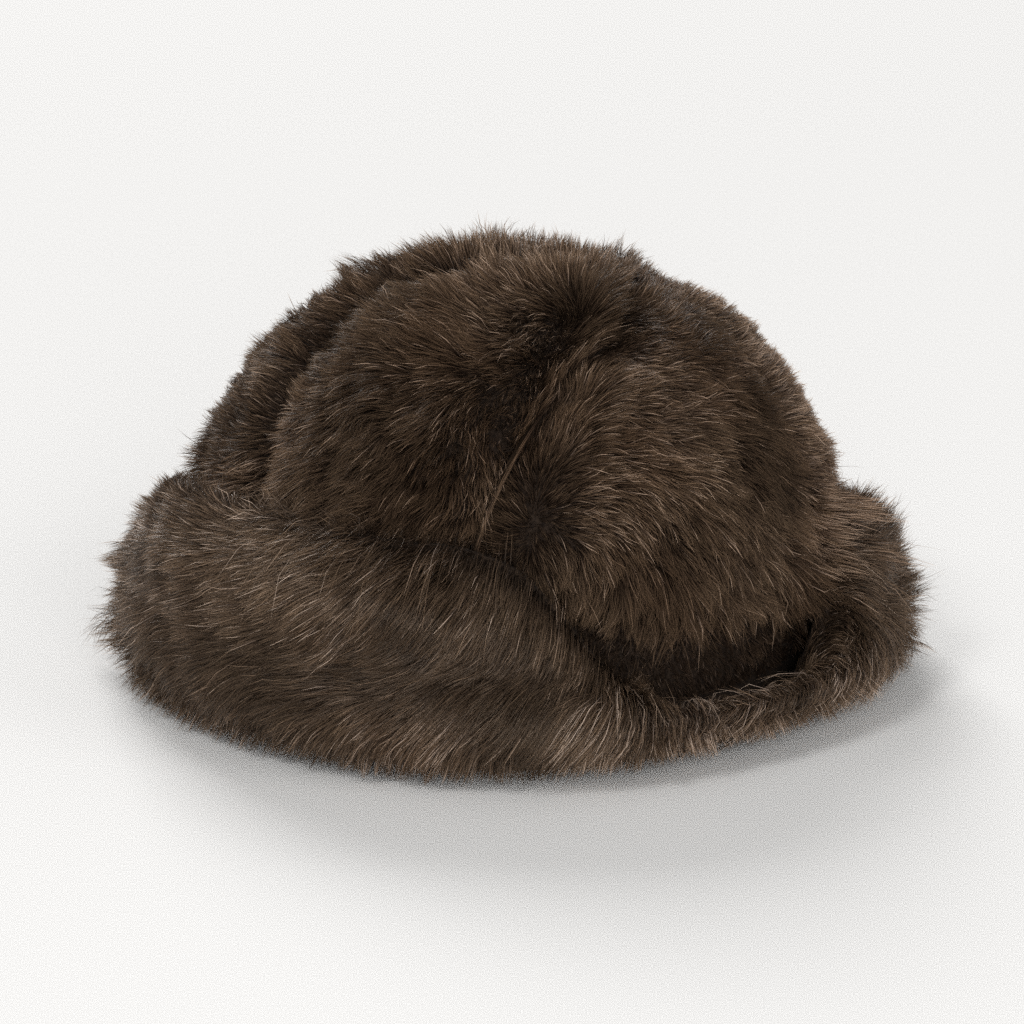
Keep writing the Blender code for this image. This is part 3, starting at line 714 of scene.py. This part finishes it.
def makeFur(name, surface, steps, low, high, table, toneAndLightTable, pale, coat, counts, weightOf, material, seed):
    draw = np.random.default_rng(seed)
    clumpP, clumpQ = pickRoots(surface, low, high, steps, counts["tufts"], weightOf, seed + 1)
    groups = seamWelt() if name == f"crown_fur_{welt['gore'] + 1}" else []
    clumpRoots = surface(clumpP, clumpQ)
    tree = KDTree(len(clumpP))
    for index, point in enumerate(clumpRoots):
        tree.insert(point, index)
    tree.balance()
    for kindName in ("under", "guard"):
        tuftDraw = np.random.default_rng(seed + 6)  # the same twice, so a tuft is light or dark as a whole
        kind = coat[kindName]
        p, q = pickRoots(surface, low, high, steps, counts[kindName], weightOf, seed + kind["seed"])
        path, out, share = growStrands(kind, p, q, surface, steps, table, draw)
        clumpKind = dict(kind, loose=0.0, stray=kind["tuftStray"], uneven=0.12, liftStray=3.0, wave=0.0)
        clumpDraw = np.random.default_rng(seed + 5)
        clumpPath, _, _ = growStrands(clumpKind, clumpP, clumpQ, surface, steps, table, clumpDraw)
        owner = np.array([tree.find(point)[1] for point in path[:, 0]])
        hold = draw.uniform(*kind["hold"], len(clumpP))[owner] * draw.uniform(0.7, 1.1, len(p))
        hold = hold * kind["tuftOf"](p, q, path[:, 0])
        hold = hold + hair["edgeHold"] * smooth(1 - 3 * np.abs(out @ seeInto))
        hold = np.where(draw.random(len(p)) < kind["free"], 0.0, np.clip(hold, 0, 0.9))
        hold = hold * (1 - kind["combed"](p, q))
        uneven = draw.uniform(hair["hemBelow"], hair["hemAbove"], len(clumpP))[owner]
        path = clipped(gather(path, clumpPath, owner, hold), out, uneven)
        facing = smooth((-(out @ seeInto) + 0.3) / 0.4)
        width = kind["width"] * draw.uniform(0.75, 1.25, len(p)) * mix(hair["edgeWider"], 1.0, facing)
        # the tone tables and the panel factor hold painted light and shade as well as the pile's own tone
        tone = toneAndLightAt(toneAndLightTable, path[:, 0]) * pale
        light = tone * np.exp(draw.normal(0, kind["mixed"], len(p)) * np.clip(tone, 0.5, 1.2))
        light = light * np.exp(tuftDraw.normal(0, kind["patchy"], len(clumpP)))[owner]
        # painted glints: a share of the guard hairs, more of them where the tone is light, is made several
        # times lighter
        paintedGlint = draw.random(len(p)) < kind["paintedGlint"] * tone**2
        light = light * np.where(paintedGlint, draw.uniform(*hair["paintedGlint"], len(p)), 1.0)
        width = width * (1 + 0.3 * smooth((light - 1.6) / 1.5))  # light hairs are drawn coarser, so that the painted glints among them show
        groups.append(ribbons(path, out, width, shadeOf(light), share, draw, kind["twist"]))
    return joinedMesh(name, groups, material)


def frontWeight(out):
    return mix(hair["behindShare"], 1.0, smooth((-(out @ seeInto) + 0.35) / 0.45))


# crown: short soft pile with a sprinkling of longer shiny hairs

crownFur = {
    # how much shorter the hair is beside each panel's left and right seam; short hair is coloured darker, which
    # paints shade into the creases
    "partings": [(0.1, 0.1), (0.6, 0.65), (0.1, 0.2), (0.2, 0.2), (0.2, 0.2), (0.2, 0.8)],
    "partingWidth": 7.0,
    # each panel lighter or darker as a whole: partly its own tone, partly painted light for how its hair lies
    # towards the lamps
    "panelToneAndLight": [0.86, 0.76, 1.12, 1.04, 0.93, 0.98],
    # places as seen from the front: right of the middle, and up
    "whorl": (9, 51),
    "whorlWidth": 10.0,
    "whorlCut": 0.4,  # how much shorter the hair is there
    "peak": (21, 144),
    "peakWidth": 4.0,
    "peakMore": 0.6,
    "trimLeft": 0.3,
    "trimRight": 0.35,
    "fringeFull": 11.0,  # hair this far above the fringe's line hangs to it
    "fringeWaves": 4.0,
    "endMore": 0.8,  # how much longer it is where it falls over the cuff's end
    "darkCut": 0.7,  # shorter beside the fine seam in front, which the colour turns into a painted shade line
    "darkWidth": 2.2,
    "hollowFoot": 13.0,  # the lowest hair in the hollow
    "underRim": 9,  # how far below the cuff's rim hair still grows on the crown
}

# the fine seam in front: a thin light line of hair on its ridge, partly a painted highlight, and a dark one on
# its left as painted shade
welt = {
    "gore": 1,
    "rows": (3.6, 10.2),
    "long": 1.1,
    "seed": 7,
    # how far aside and how high it lies, how light and how wide each hair is, and how many there are
    "lines": [(0.0, 6.7, 1.4, 0.2, 150), (-1.3, 6.2, 0.2, 0.35, 150)],
}


def seamAway(gore, p, q):
    # millimetres from a panel's left and right seam
    inward = np.cos(np.clip(q - crown["wallRows"], 0, crown["domeRows"]) / crown["domeRows"] * math.pi / 2)
    arc = np.radians(seamAngle(gore + 1, inward) - seamAngle(gore, inward)) * crown["domeRadius"] * inward
    return p * arc, (1 - p) * arc


def uncombed(p, q):
    return np.zeros(len(p))


def seamWelt():
    draw = np.random.default_rng(welt["seed"])
    groups = []
    for aside, high, light, width, count in welt["lines"]:
        q = draw.uniform(*welt["rows"], count)[:, None] - np.arange(4) / 3 * welt["long"]
        p = (aside + draw.normal(0, 0.3, (count, 1))) / seamAway(welt["gore"], 1.0, q)[0]
        depth = crown["furDepth"] - high + draw.normal(0, 0.25, (count, 1)) + 0 * q
        path = crownPoints(welt["gore"], p, q, depth)
        out = unit(path[:, 0] - (0, 0, 40.0))
        shade = shadeOf(light * draw.uniform(0.75, 1.3, count))
        groups.append(ribbons(path, out, np.full(count, width), shade, np.ones(count), draw, 0.5))
    return groups


def cuffCombed(p, q):
    # where the cuff is opened its inner hair lies up and outwards over the roll
    return cuffValue(2, p) * smooth((q - 10.5) / 1.5)


def crownLength(gore):
    f = crownFur

    def length(p, q, here):
        spot = seen(here)
        above = spot[:, 1] - np.interp(spot[:, 0], fringe[:, 0], fringe[:, 1])
        above = above + f["fringeWaves"] * wander(here, 18, 16)
        # over the hollow the hair is cut short towards the fringe's line, and short hair is coloured darker:
        # painted shade in the hollow
        overHollow = smooth((spot[:, 0] - 5) / 15) * smooth((34 - above) / 10)
        long = mix(1.0, np.clip(above / f["fringeFull"], 0.22, 1.45), overHollow)
        long = long * (1 + f["endMore"] * overCuffEnd(spot))
        whorl = spotBell(spot, f["whorl"], f["whorlWidth"])
        peak = spotBell(spot, f["peak"], f["peakWidth"])
        long = long * (1 - f["whorlCut"] * whorl) * (1 + f["peakMore"] * peak)
        trimLeft = f["trimLeft"] * smooth((-48 - spot[:, 0]) / 15) * smooth((spot[:, 1] - 70) / 20)
        trimRight = f["trimRight"] * smooth((spot[:, 0] - 28) / 20) * smooth((spot[:, 1] - 60) / 30)
        long = long * (1 - trimLeft - trimRight)
        away = seamAway(gore, p, q)
        cut = sum(deep * bell(gap, 0, f["partingWidth"]) for deep, gap in zip(f["partings"][gore], away))
        if gore + 1 == welt["gore"]:
            cut = cut + f["darkCut"] * bell(away[1], 0, f["darkWidth"])
        return long * (1 - np.minimum(cut, 0.8))

    return length


def overCuffEnd(spot):
    # the crown's hair that falls over the cuff at the right, from 0 to 1
    return smooth((spot[:, 0] - 88) / 12) * smooth((64 - spot[:, 1]) / 12) * smooth((spot[:, 1] - 15) / 10)


def crownLift(p, q, here):
    spot = seen(here)
    sleek = smooth((spot[:, 0] - 15) / 25) * smooth((120 - spot[:, 1]) / 20)
    return mix(1 - 0.15 * sleek, 2.0, overCuffEnd(spot))


def crownTuft(p, q, here):
    spot = seen(here)
    return 1 + 2.0 * smooth((spot[:, 0] - 15) / 25) * smooth((50 - spot[:, 1]) / 20)


def crownWalk(p, q, here, out, gone, high, alongP, alongQ):
    # along the dome, which falls away under the hair
    return here + gone + out * (high - dot(gone, gone)[:, 0] / 200.0)[:, None]


# sizes in millimetres and angles in degrees: lift is how steeply a hair leaves the wall, bend how far it
# turns back down, sway, curl and ruffle the slow waves of its way and lift, stray its own error; mixed and
# patchy are how unlike in tone the hairs and tufts are; hold is how far a tuft's hairs lean together
crownCoat = {
    "under": {
        "seed": 21, "parts": 2, "length": 10.0, "width": 0.23, "lift": 35, "edgeLift": 10, "bend": 40,
        "loose": 0.0, "free": 0.0, "paintedGlint": 0.0, "mixed": 0.28, "patchy": 0.06, "hold": (0.05, 0.5),
        "sway": 10, "curl": 10, "stray": 11, "tuftStray": 14, "uneven": 0.18, "ruffle": 9,
        "liftStray": 5, "wave": 0.05, "twist": 0.7,
        "liftOf": crownLift, "tuftOf": crownTuft, "walk": crownWalk,
    },
    "guard": {
        "seed": 22, "parts": 3, "length": 12, "width": 0.16, "lift": 31, "edgeLift": 10, "bend": 45,
        "loose": 0.003, "free": 0.1, "paintedGlint": 0.19, "mixed": 0.32, "patchy": 0.06, "hold": (0.05, 0.55),
        "sway": 10, "curl": 10, "stray": 11, "tuftStray": 14, "uneven": 0.2, "ruffle": 9,
        "liftStray": 5, "wave": 0.07, "twist": 0.8,
        "liftOf": crownLift, "tuftOf": crownTuft, "walk": crownWalk,
    },
}


def covered(angle):
    # the height on the crown below which the cuff hides it
    overHollow = np.clip(cuffValue(2, angle) * 2, 0, 1)
    return mix(cuffValue(1, angle) - crownFur["underRim"], crownFur["hollowFoot"], overHollow)


def crownWeight(p, q, here, out):
    angle = np.degrees(np.arctan2(here[:, 0], -here[:, 1]))
    return frontWeight(out) * (here[:, 2] > covered(angle))


cuffFur = {
    "rows": (5.0, 16.8),  # of the cuff's section that carry hair
    "tone": 0.69,
    "insideCut": 0.75,
    "rimCut": 0.3,
    "cornerCut": 0.35,
    "corner": (-80, 22),  # angle and width
    "turning": (14, 8),  # where the cuff opens
    "turningMore": 0.1,
    "foot": (-92, 20),
    "footMore": 0.5,
    "rimLift": 1.1,
    "bottomLift": 1.4,
    "bottomTuft": 2.0,
}


def cuffLength(atBottom):
    return lambda p, q, here: cuffLong(p, q, atBottom)


def cuffLong(p, q, atBottom):
    # short inside the hollow, at the rim and at the left corner, longer at the fold's left; short hair is
    # coloured darker, so the hollow's short hair is painted shade
    f = cuffFur
    opened = cuffValue(2, p)
    inside = smooth((q - 9.5) / 1.5) * smooth((p - 17) / 8) * opened
    inside = inside * (1 - 0.35 * smooth((q - 11) / 1.5))
    bottom = smooth((8.5 - q) / 3)
    rim = smooth((q - 13) / 1.5) * (1 - opened)
    corner = bell(p, *f["corner"]) * smooth((q - 11) / 2)
    turning = bell(p, *f["turning"]) * smooth((q - 11) / 2)
    long = (1 - f["insideCut"] * inside) * mix(1.0, atBottom, bottom)
    long = long * (1 - f["rimCut"] * rim) * (1 - f["cornerCut"] * corner)
    foot = bell(p, *f["foot"]) * bottom
    return long * (1 + f["turningMore"] * turning) * (1 + f["footMore"] * foot)


def cuffLift(p, q, here):
    # the rim's hair stands up against the crown, and the fold's stands off
    rim = smooth((q - 12.5) / 2.5) * (1 - cuffValue(2, p))
    turning = bell(p, *cuffFur["turning"]) * smooth((q - 11) / 2)
    return 1 + cuffFur["rimLift"] * rim * (1 - turning) + cuffFur["bottomLift"] * smooth((8.0 - q) / 2.0)


def cuffTuft(p, q, here):
    return 1 + cuffFur["bottomTuft"] * smooth((8.5 - q) / 2.5)


def cuffWalk(p, q, here, out, gone, high, alongP, alongQ):
    # mostly round the roll, and straighter at the fold, where the hair stands off
    acrossP, across, acrossQ = dot(alongP, alongP)[:, 0], dot(alongP, alongQ)[:, 0], dot(alongQ, alongQ)[:, 0]
    goneP, goneQ = dot(gone, alongP)[:, 0], dot(gone, alongQ)[:, 0]
    size = np.maximum(acrossP * acrossQ - across**2, 1e-6)
    nextP = p + (acrossQ * goneP - across * goneQ) / size
    nextQ = np.clip(q + (acrossP * goneQ - across * goneP) / size, 3.6, 18.0)
    straight = here + gone + out * (high - dot(gone, gone)[:, 0] / 250.0)[:, None]
    sunk = np.linalg.norm(here - cuffPoints(p, q), axis=1)
    high = high - sunk
    bridge = bell(q, 11.0, 1.8) * (1 - cuffValue(2, p))  # over the groove
    hug = mix(0.2, 0.85, smooth((q - 5.0) / 2.5)) * (1 - 0.6 * bridge)
    return mix(straight, cuffPoints(nextP, nextQ, high), hug[:, None])


cuffCoat = {
    "under": {
        "seed": 31, "parts": 2, "length": 12, "width": 0.25, "lift": 21, "edgeLift": 22, "bend": 28,
        "loose": 0.0, "free": 0.0, "paintedGlint": 0.0, "mixed": 0.3, "patchy": 0.2, "hold": (0.0, 0.45),
        "sway": 6, "curl": 4, "stray": 8, "tuftStray": 8, "uneven": 0.18, "ruffle": 4,
        "liftStray": 5, "wave": 0.04, "twist": 0.7, "lengthOf": cuffLength(0.5),
        "liftOf": cuffLift, "tuftOf": cuffTuft, "combed": cuffCombed, "walk": cuffWalk,
    },
    "guard": {
        "seed": 32, "parts": 3, "length": 15.5, "width": 0.17, "lift": 18, "edgeLift": 26, "bend": 26,
        "loose": 0.003, "free": 0.1, "paintedGlint": 0.28, "mixed": 0.4, "patchy": 0.2, "hold": (0.0, 0.45),
        "sway": 6, "curl": 4, "stray": 7, "tuftStray": 8, "uneven": 0.2, "ruffle": 4,
        "liftStray": 5, "wave": 0.05, "twist": 0.8, "lengthOf": cuffLength(0.85),
        "liftOf": cuffLift, "tuftOf": cuffTuft, "combed": cuffCombed, "walk": cuffWalk,
    },
}


def cuffWeight(p, q, here, out):
    return frontWeight(out) * np.where(q > 16, 0.5, 1.0)


# strands for each piece of fur: crown panels by number, then the four stretches of the cuff
crownCounts = [
    {"tufts": 1800, "under": 21000, "guard": 9000},
    {"tufts": 2600, "under": 31000, "guard": 13500},
    {"tufts": 1000, "under": 11000, "guard": 4500},
    {"tufts": 500, "under": 5500, "guard": 1500},
    {"tufts": 500, "under": 6500, "guard": 2000},
    {"tufts": 1300, "under": 14500, "guard": 5500},
]
cuffStretches = [
    ("cuff_fur_left", -110, -40, {"tufts": 2200, "under": 20500, "guard": 15500}),
    ("cuff_fur_front", -40, 20, {"tufts": 2000, "under": 19500, "guard": 15500}),
    ("cuff_fur_right", 20, 110, {"tufts": 2000, "under": 19500, "guard": 14000}),
    ("cuff_fur_back", 110, 250, {"tufts": 1200, "under": 13000, "guard": 4500}),
]

furs = []
for gore, counts in enumerate(crownCounts):
    def wall(p, q, gore=gore):
        return crownPoints(gore, p, q, np.full(len(p), crown["furDepth"] - 0.5))

    coat = {name: dict(kind, lengthOf=crownLength(gore), combed=uncombed) for name, kind in crownCoat.items()}
    furs.append(makeFur(
        f"crown_fur_{gore + 1}", wall, (0.01, 0.1), (0.0, 0.6), (1.0, 17.75), crownLie, crownToneAndLight,
        crownFur["panelToneAndLight"][gore], coat, counts, crownWeight, crownFurMaterial, 1000 + gore * 50))
lowRow, highRow = cuffFur["rows"]
for number, (name, start, end, counts) in enumerate(cuffStretches):
    furs.append(makeFur(
        name, cuffWall, (0.5, 0.25), (start, lowRow), (end, highRow), cuffLie, cuffToneAndLight,
        cuffFur["tone"], cuffCoat, counts, cuffWeight, cuffFurMaterial, 2000 + number * 50))
total = sum(len(fur.data.polygons) for fur in furs)
print("fur grown,", total, "triangles in all")

for gore, skin in enumerate(crownSkins):
    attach(skin, "root")
    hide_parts(f"crown_gore_{gore + 1}")
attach(cuffSkin, "root")
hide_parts("cuff")
for piece in furs:
    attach(piece, "root")

# studio

studio = {
    "floor": "#f4f3f1", "floorSize": 8.0, "sky": "#ffffff", "skyStrength": 0.27,
    # name: place, size, watts
    "lamps": {
        "key": ((-1.8, -2.2, 3.3), 1.1, 42.0),
        "back": ((-1.8, 6.2, 4.6), 3.6, 425.0),
        "fill": ((2.8, -1.8, 2.0), 2.0, 20.0),
        "front": ((0.4, -3.4, 0.9), 2.2, 80.0),
    },
}

startPiece()
bpy.ops.mesh.primitive_plane_add(size=studio["floorSize"], location=(0, 0, 0))
floor = bpy.context.object
floor.name = "floor"
floorMaterial = bpy.data.materials.new("pale paper")
floorMaterial.use_nodes = True
floorTree = floorMaterial.node_tree
floorShader = floorTree.nodes["Principled BSDF"]
floorPlace = addNode(floorTree, "ShaderNodeTexCoord")
floorGrain = addNode(floorTree, "ShaderNodeTexNoise", {"Scale": 900.0, "Detail": 3.0},
    {"Vector": floorPlace.outputs["Object"]})
floorTree.links.new(ramp(floorTree, floorGrain.outputs["Fac"], [
    (0.2, linear("#f3f2f0")), (0.8, linear(studio["floor"]))]), floorShader.inputs["Base Color"])
floorShader.inputs["Roughness"].default_value = 0.9
floorShader.inputs["Specular IOR Level"].default_value = 0.1
floor.data.materials.append(floorMaterial)

world = bpy.data.worlds.new("studio")
world.use_nodes = True
world.node_tree.nodes["Background"].inputs["Color"].default_value = linear(studio["sky"])
world.node_tree.nodes["Background"].inputs["Strength"].default_value = studio["skyStrength"]
bpy.context.scene.world = world

for name, (place, size, watts) in studio["lamps"].items():
    startPiece()
    toMiddle = Vector((0, 0, 0.06)) - Vector(place)
    bpy.ops.object.light_add(type="AREA", location=place, rotation=toMiddle.to_track_quat("-Z", "Y").to_euler())
    lamp = bpy.context.object
    lamp.name = name
    lamp.data.size = size
    lamp.data.energy = watts

bpy.ops.object.camera_add(location=Vector(eye) * mm, rotation=(math.radians(90) - tilt, 0, 0))
shot = bpy.context.object
shot.data.lens = camera["lens"]
shot.data.sensor_width = camera["sensor"]
shot.data.clip_start = 0.05
bpy.context.scene.camera = shot
bpy.context.scene.view_settings.view_transform = "Standard"
bpy.context.scene.cycles.use_denoising = False
print("studio made")
